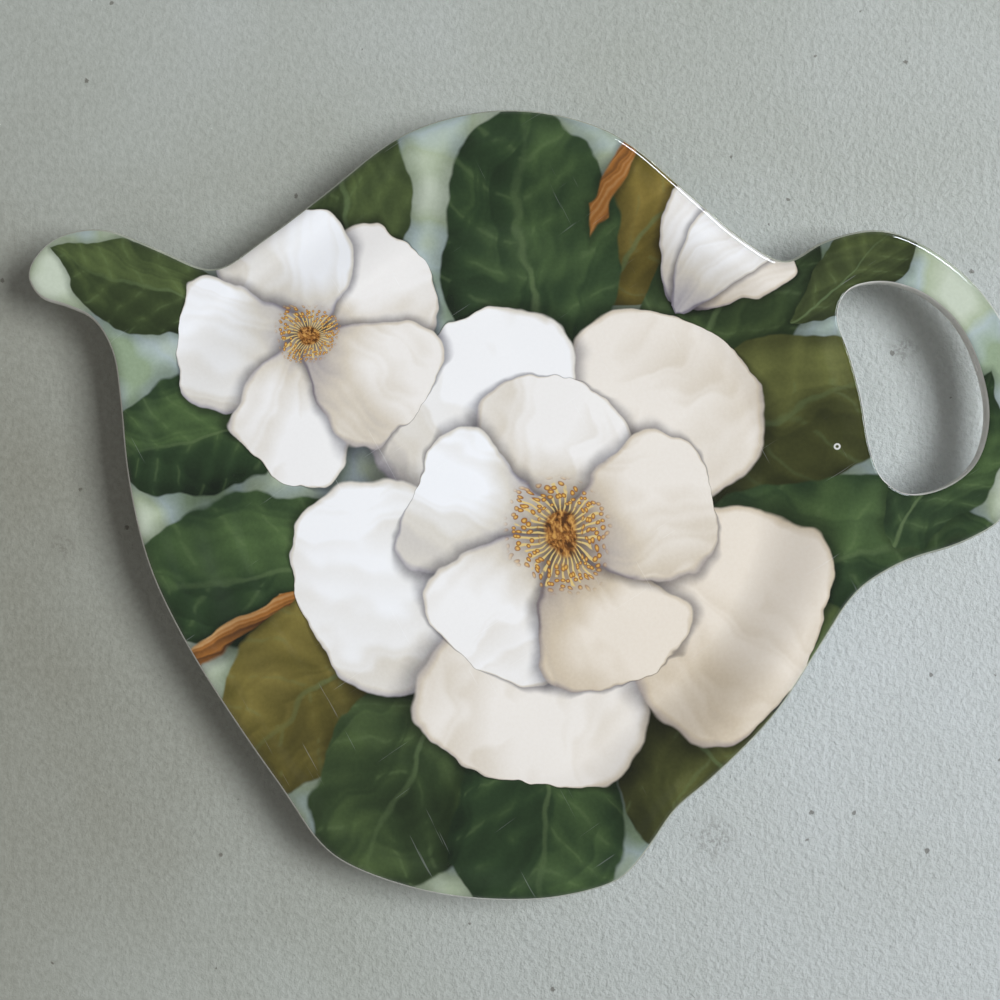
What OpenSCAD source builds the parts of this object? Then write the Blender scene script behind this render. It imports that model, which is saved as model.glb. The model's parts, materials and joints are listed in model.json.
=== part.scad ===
// Tea bag rest: a shallow teapot-shaped dish in moulded melamine, with a printed foil fused into its top.
// The spout points along -X, the handle along +X, and the lid's bulge along +Y.
// The dish stands on a foot ring at z = 0, with the origin in the middle of its bounding box.

/* [Overall] */
// Length from the tip of the spout to the outside of the handle
length = 120.6; // [108:0.1:134]
// Width from the bottom of the teapot to the top of its lid
width = 96.3; // [87:0.1:106]
// Height from the table to the top of the rim
height = 9; // [8:0.1:12]

/* [Rim and dish] */
// Thickness of the rim plate that runs out into the handle and the spout
rim_t = 3.4; // [3:0.1:4]
// Radius of the rim's rounded upper edge
edge_r = 1.8; // [1.4:0.1:1.9]
// Radius of the rim's lower edge
under_edge_r = 0.8; // [0.4:0.1:1]
// Width of the rim's top between its rounded edge and the start of the dish's wall
land_w = 0.6; // [0.5:0.1:1.2]
// Distance from the rim's outer edge to where the dish's wall meets its floor, at the top of the lid
wall_run = 15; // [11:0.1:17]
// How round the floor is, from 0, where it follows the teapot's sides, to 1, a circle
round_share = 0.5; // [0:0.05:1]
// Thickness of the dish's sloping wall, measured level
wall_t = 2.2; // [1.8:0.1:2.6]
// Thickness of the dish's floor
floor_t = 2.2; // [1.8:0.1:2.6]

/* [Foot ring] */
// Outer diameter of the round foot ring
foot_d = 58; // [50:0.5:60]
// Width of the foot ring
foot_w = 2.4; // [1.6:0.1:3]
// Height of the foot ring below the dish's underside
foot_h = 1.2; // [0.8:0.1:1.6]
// Draft of each face of the foot ring, so that it leaves the mould
foot_draft = 0.2; // [0.1:0.05:0.3]

/* [Handle] */
// Width of the handle's band at its outermost point
band_w = 4; // [3.4:0.1:5]
// Length of the finger hole along X
hole_l = 18.2; // [16.5:0.1:19]
// Width of the finger hole along Y
hole_w = 25.7; // [23:0.1:27]
// Radius of the finger hole's rounded edges
hole_edge_r = 0.8; // [0.5:0.1:1]

/* [Printed foil] */
// Thickness of the printed foil with its clear glaze
foil_t = 0.3; // [0.2:0.05:0.5]
// How far round the rim's edge the foil reaches, in degrees above level
foil_edge_angle = 35; // [20:5:55]

/* [Hidden] */

// Heights of the dish's floor and of the underside of the rim plate
floor_z = foot_h + floor_t;
under_z = height - rim_t;
// Distances from the outline to the top of the dish's wall, inside and outside
crown_inset = edge_r + land_w;
under_inset = under_edge_r + land_w;

// Steps along each span of an outline, down the wall's upper and lower faces, and round whole and foil edges
span_steps = 3;
wall_steps = 6;
under_steps = 4;
edge_steps = 3;
foil_edge_steps = 2;
// Reach of a cut past the face that it leaves
overrun = 1;

// The teapot's outline, anticlockwise from the neck above the spout, as shares of half the length and width
spout_shares = [
    [-0.623, 0.596], [-0.735, 0.646], [-0.862, 0.699], [-0.961, 0.661], [-1, 0.578],
    [-0.977, 0.526], [-0.925, 0.502], [-0.872, 0.471], [-0.832, 0.393]
];
belly_shares = [
    [-0.816, 0.279], [-0.801, 0.089], [-0.755, -0.159], [-0.680, -0.355], [-0.589, -0.537],
    [-0.486, -0.722], [-0.391, -0.882], [-0.259, -0.958], [-0.067, -1], [0.115, -0.983],
    [0.198, -0.945], [0.256, -0.864], [0.309, -0.770], [0.373, -0.702], [0.511, -0.527],
    [0.606, -0.347]
];
handle_shares = [
    [0.677, -0.218], [0.767, -0.147], [0.883, -0.099], [0.964, -0.040], [1, 0.203],
    [0.970, 0.456], [0.863, 0.613], [0.721, 0.696], [0.600, 0.664], [0.529, 0.617]
];
lid_shares = [
    [0.448, 0.669], [0.337, 0.786], [0.175, 0.945], [-0.033, 1], [-0.239, 0.940],
    [-0.401, 0.788], [-0.528, 0.669]
];
// How far round the dish's own side, past the spout, each of the spout's points has its partner
spout_side_shares = [0.2, 0.32, 0.38, 0.42, 0.45, 0.48, 0.52, 0.6, 0.78];
// The dish's own side where it passes below and above the finger hole
low_side_shares = [[0.646, -0.256], [0.677, -0.170]];
high_side_shares = [[0.584, 0.563], [0.525, 0.613]];
// The finger hole, anticlockwise from its upper left, as shares of half its own length and width
hole_shares = [
    [-0.987, 0.730], [-0.826, 0.322], [-0.666, -0.105], [-0.559, -0.551], [-0.398, -0.845],
    [-0.091, -0.988], [0.364, -0.950], [0.818, -0.722], [1, -0.342], [0.898, 0.179],
    [0.564, 0.644], [0.070, 0.919], [-0.492, 1], [-0.853, 0.919]
];
// The dish's side along the finger hole, upwards, in the same shares
hole_side_shares = [
    [-0.559, -1.386], [-0.492, -1.035], [-0.559, -0.551], [-0.666, -0.105], [-0.826, 0.322],
    [-1, 0.682]
];
// Height of the finger hole's middle, as a share of half the width
hole_y_share = 0.294;

// Item i of a closed list
function at(list, i) = list[(i + len(list)) % len(list)];

// Point or number at a share of the way from a to b
function mix(a, b, share) = a + (b - a) * share;

// Shares turned into places round a middle
function place(shares, middle, half) = [for (s = shares) middle + [s.x * half.x, s.y * half.y]];

// Direction of the smooth curve at point i, from the two chords that meet there
function heading(points, i) =
    let (back = points[i] - at(points, i - 1), ahead = at(points, i + 1) - points[i])
    let (b = norm(back), a = norm(ahead))
    (back * a / b + ahead * b / a) / (a + b);

// Cubic curve over the span from point i to the next
function span(points, i, t) =
    let (from = points[i], to = at(points, i + 1), chord = norm(to - from))
    from * (2 * t ^ 3 - 3 * t ^ 2 + 1) + heading(points, i) * chord * (t ^ 3 - 2 * t ^ 2 + t)
    + to * (3 * t ^ 2 - 2 * t ^ 3) + heading(points, (i + 1) % len(points)) * chord * (t ^ 3 - t ^ 2);

// Smooth closed curve through the points
function curve(points) =
    [for (i = [0:len(points) - 1], k = [0:span_steps - 1]) span(points, i, k / span_steps)];

// Middle and size of a loop's box
function box_middle(loop) = [for (k = [0, 1]) let (line = [for (p = loop) p[k]]) (max(line) + min(line)) / 2];
function box_size(loop) = [for (k = [0, 1]) let (line = [for (p = loop) p[k]]) max(line) - min(line)];

// A loop moved and stretched by what brings a box to its named size round the origin
function fitted(loop, middle, box, size) =
    [for (p = loop) [for (k = [0, 1]) (p[k] - middle[k]) * size[k] / box[k]]];

// Level direction that points into an anticlockwise loop at its point i
function inward(loop, i) =
    let (along = at(loop, i + 1) - at(loop, i - 1))
    [-along.y, along.x] / norm(along);

// A loop moved in by an inset, at one height
function ring(loop, inset, z) =
    [for (i = [0:len(loop) - 1]) let (p = loop[i] + inward(loop, i) * inset) [p.x, p.y, z]];

// The dish's loop drawn in towards its middle and made rounder, by a run that holds half the width away
function drawn_in(run, z) =
    [for (p = dish)
        let (away = p - dish_middle, side = away * mix(1, half_size.y / norm(away), round_share))
        let (q = dish_middle + side * (1 - run / half_size.y))
        [q.x, q.y, z]];

// A circle round the dish's middle, with a point in line with each of the dish's points
function round_ring(r, z) =
    [for (p = dish) let (q = dish_middle + (p - dish_middle) * r / norm(p - dish_middle)) [q.x, q.y, z]];

// Angles from one to another, in even steps
function turns(from, to, steps) = [for (s = [0:steps]) mix(from, to, s / steps)];

// Rings round an upper edge of radius r whose top is at z, one for each angle above level
function edge_rings(loop, r, z, angles, cut = 0) =
    [for (a = angles) ring(loop, r - (r - cut) * cos(a), z - r + (r - cut) * sin(a))];

// Rings down the dish's wall, whose level run and fall follow half a wave, sunk at right angles by a cut
function wall_rings(top, bottom, steps, cut = 0) =
    [for (s = [1:steps - 1])
        let (share = s / steps, fall = top[0].z - bottom[0].z, fallen = fall * (1 - cos(180 * share)) / 2)
        [for (i = [0:len(top) - 1])
            let (level = bottom[i] - top[i] + [0, 0, fall], run = norm(level))
            let (slope = atan(PI / 2 * fall / run * sin(180 * share)))
            top[i] + level * (share - cut * sin(slope) / run) - [0, 0, fallen + cut * cos(slope)]]];

half_size = [length / 2, width / 2];
hole_half = [hole_l / 2, hole_w / 2];
hole_middle = [half_size.x - band_w - hole_half.x, hole_y_share * half_size.y];

hole_side = concat(
    place(low_side_shares, [0, 0], half_size),
    place(hole_side_shares, hole_middle, hole_half),
    place(high_side_shares, [0, 0], half_size)
);
belly = place(belly_shares, [0, 0], half_size);
lid = place(lid_shares, [0, 0], half_size);
body = concat(belly, hole_side, lid);
spout_side = [for (s = spout_side_shares) span(body, len(body) - 1, s)];
spout = place(spout_shares, [0, 0], half_size);
handle = place(handle_shares, [0, 0], half_size);
drawn_outline = curve(concat(spout, belly, handle, lid));
drawn_hole = curve(place(hole_shares, [0, 0], hole_half));

// The whole teapot, the dish without its handle and spout, and the finger hole
drawn_middle = box_middle(drawn_outline);
drawn_size = box_size(drawn_outline);
outline = fitted(drawn_outline, drawn_middle, drawn_size, 2 * half_size);
dish = fitted(curve(concat(spout_side, body)), drawn_middle, drawn_size, 2 * half_size);
dish_middle = box_middle(dish);
centred_hole = fitted(drawn_hole, box_middle(drawn_hole), box_size(drawn_hole), 2 * hole_half);
hole = [for (p = centred_hole) p + hole_middle];

// Rings of the printed face from the dish's floor out to the foil's edge, sunk by a cut
function face_rings(cut) =
    let (floor_ring = drawn_in(wall_run, floor_z), crown = ring(dish, crown_inset, height))
    let (down = wall_rings(crown, floor_ring, wall_steps, cut))
    concat(
        [drawn_in(wall_run, floor_z - cut)],
        [for (s = [len(down) - 1:-1:0]) down[s]],
        [ring(dish, crown_inset, height - cut)],
        edge_rings(outline, edge_r, height, turns(90, foil_edge_angle, foil_edge_steps), cut)
    );

// Rings of the underside from the rim's lower edge in to the hollow inside the foot ring
function under_rings() =
    let (top = ring(dish, under_inset, under_z), bottom = drawn_in(wall_run - wall_t, foot_h))
    concat(
        [for (a = turns(0, 90, edge_steps))
            ring(outline, under_edge_r * (1 - cos(a)), under_z + under_edge_r * (1 - sin(a)))],
        [top],
        wall_rings(top, bottom, under_steps),
        [
            bottom,
            round_ring(foot_d / 2, foot_h),
            round_ring(foot_d / 2 - foot_draft, 0),
            round_ring(foot_d / 2 - foot_w + foot_draft, 0),
            round_ring(foot_d / 2 - foot_w, foot_h)
        ]
    );

// Closed skin over rings round a middle, from the top down, with each cell cut at its shorter diagonal
module skin(rings, middle) {
    n = len(rings[0]);
    last = len(rings) - 1;
    top = [middle.x, middle.y, rings[0][0].z];
    bottom = [middle.x, middle.y, rings[last][0].z];
    strips = [for (k = [0:last - 1], i = [0:n - 1])
        let (j = (i + 1) % n, a = 1 + k * n + i, b = 1 + k * n + j)
        each norm(rings[k][i] - rings[k + 1][j]) < norm(rings[k][j] - rings[k + 1][i])
            ? [[a, b + n, a + n], [a, b, b + n]]
            : [[a, b, a + n], [b, b + n, a + n]]];
    top_fan = [for (i = [0:n - 1]) [0, 1 + (i + 1) % n, 1 + i]];
    bottom_fan = [for (i = [0:n - 1]) [1 + (last + 1) * n, 1 + last * n + i, 1 + last * n + (i + 1) % n]];
    polyhedron(
        points = concat([top], [for (r = rings) each r], [bottom]),
        faces = concat(top_fan, strips, bottom_fan)
    );
}

// What the finger hole takes away, flared at both faces to round its edges
module finger_hole() {
    r = hole_edge_r;
    flare = concat(
        [ring(hole, -r, height + overrun)],
        [for (a = turns(90, 0, edge_steps)) ring(hole, r * (cos(a) - 1), height - r + r * sin(a))],
        [for (a = turns(0, 90, edge_steps)) ring(hole, r * (cos(a) - 1), under_z + r - r * sin(a))],
        [ring(hole, -r, under_z - overrun)]
    );
    skin(flare, hole_middle);
}

module moulded_dish() {
    face = face_rings(foil_t);
    outer_edge = edge_rings(outline, edge_r, height, [foil_edge_angle, 0]);
    color("whitesmoke") difference() {
        skin(concat(face, outer_edge, under_rings()), dish_middle);
        finger_hole();
    }
}

module printed_foil() {
    face = face_rings(0);
    sunk = face_rings(foil_t);
    color("darkseagreen") difference() {
        skin(concat(face, [for (k = [len(sunk) - 1:-1:0]) sunk[k]]), dish_middle);
        finger_hole();
    }
}

moulded_dish();
printed_foil();
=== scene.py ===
# %% [markdown]
# # A teapot-shaped tea bag rest
# The rest is a shallow dish pressed in white melamine, with a printed foil fused into its top under a clear
# glaze. This lesson dresses its CAD model: it takes the teapot's outline from the frame, models both layers
# again as smooth surfaces, and paints the print, the glaze and the bare moulding with nodes.

# %% Start and load the frame
import json
import math

import bmesh
import bpy
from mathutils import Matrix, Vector

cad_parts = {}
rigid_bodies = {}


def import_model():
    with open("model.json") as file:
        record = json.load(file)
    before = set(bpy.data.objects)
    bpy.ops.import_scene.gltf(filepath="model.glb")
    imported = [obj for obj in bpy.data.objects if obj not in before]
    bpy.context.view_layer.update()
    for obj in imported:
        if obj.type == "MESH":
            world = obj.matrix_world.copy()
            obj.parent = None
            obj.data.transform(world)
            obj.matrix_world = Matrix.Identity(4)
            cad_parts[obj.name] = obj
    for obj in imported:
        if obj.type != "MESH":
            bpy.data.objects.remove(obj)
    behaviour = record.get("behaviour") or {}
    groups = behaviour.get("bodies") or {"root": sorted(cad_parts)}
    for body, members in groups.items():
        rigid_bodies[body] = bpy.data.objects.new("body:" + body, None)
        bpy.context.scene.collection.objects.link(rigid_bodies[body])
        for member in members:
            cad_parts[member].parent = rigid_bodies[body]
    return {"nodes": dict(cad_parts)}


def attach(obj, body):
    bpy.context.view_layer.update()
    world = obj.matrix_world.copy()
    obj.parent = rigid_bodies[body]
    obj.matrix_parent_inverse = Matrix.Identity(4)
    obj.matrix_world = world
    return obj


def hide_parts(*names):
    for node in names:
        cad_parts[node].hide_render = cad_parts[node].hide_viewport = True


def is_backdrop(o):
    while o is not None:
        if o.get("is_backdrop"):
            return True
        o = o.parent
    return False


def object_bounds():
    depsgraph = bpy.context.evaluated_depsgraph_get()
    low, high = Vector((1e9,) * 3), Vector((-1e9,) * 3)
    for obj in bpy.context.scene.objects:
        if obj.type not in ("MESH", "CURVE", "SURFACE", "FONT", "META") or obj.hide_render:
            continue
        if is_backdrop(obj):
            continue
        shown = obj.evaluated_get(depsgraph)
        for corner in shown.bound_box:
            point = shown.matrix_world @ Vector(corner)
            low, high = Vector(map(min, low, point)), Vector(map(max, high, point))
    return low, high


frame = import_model()
cad_low, cad_high = (Vector(corner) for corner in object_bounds())
print("frame holds", sorted(frame["nodes"]), "in", [round(1000 * s, 1) for s in cad_high - cad_low], "mm")

# %% [markdown]
# ## Working by hand in code
# Blender's operators act on what is selected, so each step starts with nothing selected and one object
# active. These helpers are the clicks that every later step needs: pick an object, open its mesh, press
# delete, and select by place.

# %% Selecting and editing
MM = 0.001
NEAR = 0.002 * MM


def pick(piece):
    """Selects one object only and makes it active."""
    if bpy.context.object and bpy.context.object.mode != "OBJECT":
        bpy.ops.object.mode_set(mode="OBJECT")
    bpy.ops.object.select_all(action="DESELECT")
    piece.select_set(True)
    bpy.context.view_layer.objects.active = piece


def open_mesh(piece, everything=True):
    """Opens a piece's mesh for editing, with all of it or none of it selected."""
    pick(piece)
    bpy.ops.object.mode_set(mode="EDIT")
    bpy.ops.mesh.select_mode(type="VERT")
    bpy.ops.mesh.select_all(action="SELECT" if everything else "DESELECT")


def close_mesh():
    bpy.ops.object.mode_set(mode="OBJECT")


def select_edges(piece, wanted):
    """Selects the edges of an open mesh that pass a test, and nothing else."""
    bpy.ops.mesh.select_mode(type="EDGE")
    bpy.ops.mesh.select_all(action="DESELECT")
    mesh = bmesh.from_edit_mesh(piece.data)
    for edge in mesh.edges:
        if wanted(edge):
            edge.select_set(True)
    bmesh.update_edit_mesh(piece.data)


def select_faces(piece, wanted):
    """Selects the faces of an open mesh that pass a test, and nothing else."""
    bpy.ops.mesh.select_mode(type="FACE")
    bpy.ops.mesh.select_all(action="DESELECT")
    mesh = bmesh.from_edit_mesh(piece.data)
    for face in mesh.faces:
        face.select_set(wanted(face))
    bmesh.update_edit_mesh(piece.data)


def corners(piece):
    """Lowest and highest corner of a piece's mesh."""
    places = [vertex.co for vertex in piece.data.vertices]
    low = Vector(min(place[axis] for place in places) for axis in range(3))
    high = Vector(max(place[axis] for place in places) for axis in range(3))
    return low, high


# %% [markdown]
# ## The levels of the moulding
# Every height comes from the frame or from the part's own design: the rim plate, the rounded edges, the
# dish's floor and the foot ring. Writing them once keeps the two layers in step.

# %% Levels and radii
top_z = cad_high.z
rim_t = 3.4 * MM
under_z = top_z - rim_t
foot_h = 1.2 * MM
floor_z = foot_h + 2.2 * MM
foil_t = 0.3 * MM
edge_r = 1.8 * MM
under_edge_r = 0.8 * MM
hole_edge_r = 0.8 * MM
shoulder_z = top_z - edge_r
foil_edge_angle = 35
printed_share = math.sin(math.radians(foil_edge_angle))
heights = [round(1000 * height, 2) for height in (foot_h, floor_z, under_z, shoulder_z, top_z)]
print("foot, floor, rim's underside, shoulder and top at", heights, "mm")

# %% [markdown]
# ## Lifting loops from the frame
# The CAD nodes are faceted, but their edge loops hold the true outline. A copy of a node is merged, only the
# edges at one height where the surface bends are kept, and the loops fall apart into separate objects.
# Scraps with few points are thrown away.

# %% Lift the loops at one height
LEAST_POINTS = 12
BEND = math.radians(1)


def lift_loops(node, level, name):
    """Edge loops of a copy of a CAD node at one height, the widest first."""
    source = frame["nodes"][node]
    copy = bpy.data.objects.new(name, source.data.copy())
    bpy.context.collection.objects.link(copy)
    open_mesh(copy)
    bpy.ops.mesh.remove_doubles(threshold=NEAR / 4)

    def at_level(part):
        return all(abs(vertex.co.z - level) < NEAR for vertex in part.verts)

    def off_loop(edge):
        bends = len(edge.link_faces) == 2 and edge.calc_face_angle(0) > BEND
        return not (bends and at_level(edge) and sum(at_level(face) for face in edge.link_faces) < 2)

    select_edges(copy, off_loop)
    bpy.ops.mesh.delete(type="EDGE")
    open_mesh(copy)
    bpy.ops.mesh.separate(type="LOOSE")
    close_mesh()
    loops = [piece for piece in bpy.context.selected_objects if len(piece.data.vertices) > LEAST_POINTS]
    for piece in [piece for piece in bpy.context.selected_objects if piece not in loops]:
        bpy.data.objects.remove(piece)
    loops.sort(key=lambda piece: -piece.dimensions.x)
    return loops


# %% [markdown]
# ## Rounding the facets away
# Each loop is turned into a curve with automatic handles, which rounds the facets away, and back into a finer
# mesh. Easing its points a little takes out the last corners where two facets met.

# %% Smooth a loop
LOOP_STEPS = 4
LOOP_EASING = 4


def smooth_loop(piece, name):
    """Rounds a faceted loop with a curve's automatic handles, and gives it more points."""
    pick(piece)
    bpy.ops.object.convert(target="CURVE")
    curve = bpy.context.object
    bpy.ops.object.mode_set(mode="EDIT")
    bpy.ops.curve.select_all(action="SELECT")
    bpy.ops.curve.spline_type_set(type="BEZIER")
    bpy.ops.curve.handle_type_set(type="AUTOMATIC")
    bpy.ops.object.mode_set(mode="OBJECT")
    curve.data.splines[0].resolution_u = LOOP_STEPS
    bpy.ops.object.convert(target="MESH")
    loop = bpy.context.object
    open_mesh(loop)
    bpy.ops.mesh.vertices_smooth(factor=0.5, repeat=LOOP_EASING)
    close_mesh()
    loop.name = name
    print(name, len(loop.data.vertices), "points,", [round(1000 * s, 1) for s in loop.dimensions], "mm")
    return loop


def lift(node, level, *names):
    """Smooth loops of a CAD node at one height, widest first, as many as there are names."""
    loops = lift_loops(node, level, names[0])
    for spare in loops[len(names):]:
        bpy.data.objects.remove(spare)
    return [smooth_loop(loop, name) for loop, name in zip(loops, names)]


# %% [markdown]
# ## The loops of the rest
# The teapot's widest line runs round the middle of the rim. On top lie the edge of the level land, the crest
# of the dish and the edge of the finger hole, and below it the rim's lower edges. The last ones bound the
# base, the foot ring and the floor.

# %% Lift the loops that shape the rest
outline, = lift("moulded_dish", shoulder_z, "outline")
rim_line, dish_line, hole_line = lift("printed_foil", top_z, "rim_line", "dish_line", "hole_line")
under_line, belly_line, under_hole_line = lift(
    "moulded_dish", under_z, "under_line", "belly_line", "under_hole_line"
)
base_line, foot_line, recess_line = lift("moulded_dish", foot_h, "base_line", "foot_line", "recess_line")
floor_line, = lift("printed_foil", floor_z, "floor_line")

# %% [markdown]
# ## Rounded edges
# A pressed dish is all offsets of a few outlines. For a rounded edge, a loop is filled with one face, and
# that face is inset and raised in small steps; what is left in the middle is deleted. One of the steps lies
# where the foil ends.

# %% Fill and roll
ROLL_ANGLES = [0, 12, 24, foil_edge_angle, 46, 57, 68, 79, 90]


def fill_loop(piece, up=True):
    """Closes a loop with one face that looks up or down, and leaves it selected."""
    open_mesh(piece)
    bpy.ops.mesh.edge_face_add()
    bpy.ops.mesh.select_mode(type="FACE")
    bpy.ops.mesh.select_all(action="SELECT")
    face = bmesh.from_edit_mesh(piece.data).faces[0]
    face.normal_update()
    if (face.normal.z > 0) != up:
        bpy.ops.mesh.flip_normals()


def roll_over(width, height, angles):
    """Insets the selected face round a rounded edge, by angles above level."""
    for start, end in zip(angles, angles[1:]):
        inward = width * (math.cos(math.radians(start)) - math.cos(math.radians(end)))
        raised = height * (math.sin(math.radians(end)) - math.sin(math.radians(start)))
        bpy.ops.mesh.inset(thickness=inward, depth=raised, use_even_offset=True)


def open_up():
    """Takes away the selected middle face, and leaves a hole with its loop."""
    bpy.ops.mesh.delete(type="ONLY_FACE")
    close_mesh()


# %% [markdown]
# ## Walls
# For a wall, two loops are bridged with many rings between them. The rings start evenly spaced in height, and
# each then moves onto half a wave. Those near the ends go first, so that none is taken for another.

# %% Join and hang
def join(first, *others):
    pick(first)
    for piece in others:
        piece.select_set(True)
    bpy.ops.object.join()
    return first


def at_height(level):
    """A test for points, edges or faces that lie at one height."""
    return lambda part: all(abs(vertex.co.z - level) < NEAR for vertex in part.verts)


def hang_wall(upper, lower, steps):
    """Bridges two loops with rings, and lets the wall fall from the upper to the lower in half a wave."""
    high_z, low_z = corners(upper)[0].z, corners(lower)[0].z
    join(upper, lower)
    open_mesh(upper)
    bpy.ops.mesh.bridge_edge_loops(number_cuts=steps - 1, interpolation="LINEAR")
    for step in sorted(range(1, steps), key=lambda step: -abs(step - steps / 2)):
        share = step / steps
        ring_z = high_z + (low_z - high_z) * share
        select_edges(upper, at_height(ring_z))
        wave = (1 - math.cos(math.pi * share)) / 2
        bpy.ops.transform.translate(value=(0, 0, (low_z - high_z) * (wave - share)))
    select_edges(upper, at_height(low_z))


def mark_printed(piece, above):
    """Puts the points above a height in the group of the printed face."""
    group = piece.vertex_groups.new(name="printed")
    group.add([v.index for v in piece.data.vertices if v.co.z > above - NEAR], 1, "ADD")


def move_up(piece, distance):
    open_mesh(piece)
    bpy.ops.transform.translate(value=(0, 0, distance))
    close_mesh()


def duplicate(piece, name):
    pick(piece)
    bpy.ops.object.duplicate()
    copy = bpy.context.object
    copy.name = name
    return copy


# %% [markdown]
# ## The upper surface
# The rim rolls over from its widest line up to the land on top. The finger hole's edge rolls down into the
# hole. The dish sinks from its crest to the floor along half a wave, so that both ends meet level.

# %% Rim, hole edge and dish
WALL_STEPS = 24
FLAT_BORDER = 0.04 * MM
rim_under = duplicate(outline, "rim_under")

fill_loop(outline)
roll_over(edge_r, edge_r, ROLL_ANGLES)
open_up()
mark_printed(outline, shoulder_z + edge_r * printed_share)

fill_loop(hole_line)
roll_over(-hole_edge_r, hole_edge_r, ROLL_ANGLES[::-1])
open_up()
mark_printed(hole_line, top_z - hole_edge_r + hole_edge_r * printed_share)

hang_wall(dish_line, floor_line, WALL_STEPS)
bpy.ops.mesh.edge_face_add()
bpy.ops.mesh.inset(thickness=FLAT_BORDER)
close_mesh()
mark_printed(dish_line, 0)
print("upper surface:", [(piece.name, len(piece.data.polygons)) for piece in (outline, hole_line, dish_line)])

# %% [markdown]
# ## The underside
# The photo doesn't show it. A pressed rest is the same thickness nearly all over, so the underside follows
# the dish, and a round ring with a little draft carries it.

# %% Rim's lower edge, belly and foot
foot_w = 2.4 * MM
foot_draft = 0.2 * MM
LOW_ROLL = [0, 18, 36, 54, 72, 90]
LOW_WALL_STEPS = 16

move_up(rim_under, under_z + under_edge_r - shoulder_z)
fill_loop(rim_under, up=False)
roll_over(under_edge_r, under_edge_r, LOW_ROLL)
open_up()

fill_loop(under_hole_line, up=False)
roll_over(-hole_edge_r, hole_edge_r, ROLL_ANGLES[::-1])
open_up()

hang_wall(belly_line, base_line, LOW_WALL_STEPS)
close_mesh()

fill_loop(foot_line, up=False)
bpy.ops.mesh.inset(thickness=foot_draft, depth=foot_h)
bpy.ops.mesh.inset(thickness=foot_w - 2 * foot_draft)
bpy.ops.mesh.inset(thickness=foot_draft, depth=-foot_h)
close_mesh()
underside = (rim_under, under_hole_line, belly_line, foot_line)
print("underside:", [(piece.name, len(piece.data.polygons)) for piece in underside])

# %% [markdown]
# ## One closed skin
# The pieces of skin are joined. Loops with the same points are bridged, and what lies flat between loops is
# filled. A narrow border inside each flat keeps its shading level, because a smooth surface shares its
# normals with whatever it meets. Blender's fill takes short edges for straight lines, so the mesh is a
# thousand times larger while it is filled.

# %% Bridge and fill
ENLARGED = 1000


def open_edges(level, near=NEAR):
    """A test for edges of an open boundary at one height."""
    return lambda edge: edge.is_boundary and all(abs(vertex.co.z - level) < near for vertex in edge.verts)


def bridge(piece, *levels):
    """Bridges the open loops of a piece at two heights."""
    open_mesh(piece, everything=False)
    select_edges(piece, lambda edge: any(open_edges(level)(edge) for level in levels))
    bpy.ops.mesh.bridge_edge_loops()
    close_mesh()


def resize_all(piece, factor):
    """Scales a whole mesh about the frame's origin."""
    open_mesh(piece)
    bpy.ops.transform.resize(value=(factor,) * 3, center_override=(0, 0, 0))


def fill_flat(piece, level):
    """Fills between the open loops at one height, with a narrow border round the new faces."""
    resize_all(piece, ENLARGED)
    select_edges(piece, open_edges(level * ENLARGED, NEAR * ENLARGED))
    bpy.ops.mesh.fill(use_beauty=True)
    bpy.ops.mesh.inset(thickness=FLAT_BORDER * ENLARGED, use_even_offset=False)
    resize_all(piece, 1 / ENLARGED)
    close_mesh()


join(outline, rim_under)
bridge(outline, shoulder_z, under_z + under_edge_r)
join(hole_line, under_hole_line)
bridge(hole_line, top_z - hole_edge_r, under_z + hole_edge_r)
body = join(outline, hole_line, dish_line, belly_line, foot_line)
for level in (top_z, under_z, foot_h):
    fill_flat(body, level)
body.name = body.data.name = "pressed_body"

open_mesh(body)
bpy.ops.mesh.normals_make_consistent(inside=False)
open_count = len([edge for edge in bmesh.from_edit_mesh(body.data).edges if not edge.is_manifold])
close_mesh()
print("pressed_body:", len(body.data.polygons), "faces,", open_count, "open edges")

# %% [markdown]
# ## Two layers from one skin
# The foil is the printed part of the skin, given its thickness inwards. The body gets the same part pressed
# in by that thickness, so the foil lies flush in it, as the press leaves them. Blender numbers the new faces
# as it likes, so they are sorted by their distance from the middle, to be numbered alike on every run.

# %% Part the foil from the body
SHARP = math.radians(35)


def is_printed(piece):
    """A test for faces that lie wholly in the printed face."""
    group = piece.vertex_groups["printed"].index
    weights = bmesh.from_edit_mesh(piece.data).verts.layers.deform.verify()
    return lambda face: all(group in vertex[weights] for vertex in face.verts)


def finish_surface(piece, cad_node):
    """Shades a finished skin smoothly, and lets it stand for its CAD node."""
    pick(piece)
    bpy.ops.object.shade_smooth_by_angle(angle=SHARP)
    piece.vertex_groups.clear()
    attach(piece, "root")
    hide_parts(cad_node)


foil = duplicate(body, "printed_face")
foil.data.name = "printed_face"
open_mesh(foil, everything=False)
printed = is_printed(foil)
select_faces(foil, lambda face: not printed(face))
bpy.ops.mesh.delete(type="FACE")
close_mesh()
wall = foil.modifiers.new("foil's thickness", "SOLIDIFY")
wall.thickness = foil_t
wall.offset = -1
wall.use_even_offset = True
bpy.ops.object.modifier_apply(modifier=wall.name)

open_mesh(body, everything=False)
select_faces(body, is_printed(body))
inward = {"value": -foil_t, "use_even_offset": True}
bpy.ops.mesh.extrude_region_shrink_fatten(TRANSFORM_OT_shrink_fatten=inward)
bpy.ops.mesh.select_all(action="SELECT")
bpy.ops.mesh.sort_elements(type="CURSOR_DISTANCE", elements={"FACE"})
close_mesh()
print("printed_face:", len(foil.data.polygons), "faces; pressed_body:", len(body.data.polygons), "faces")

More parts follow.
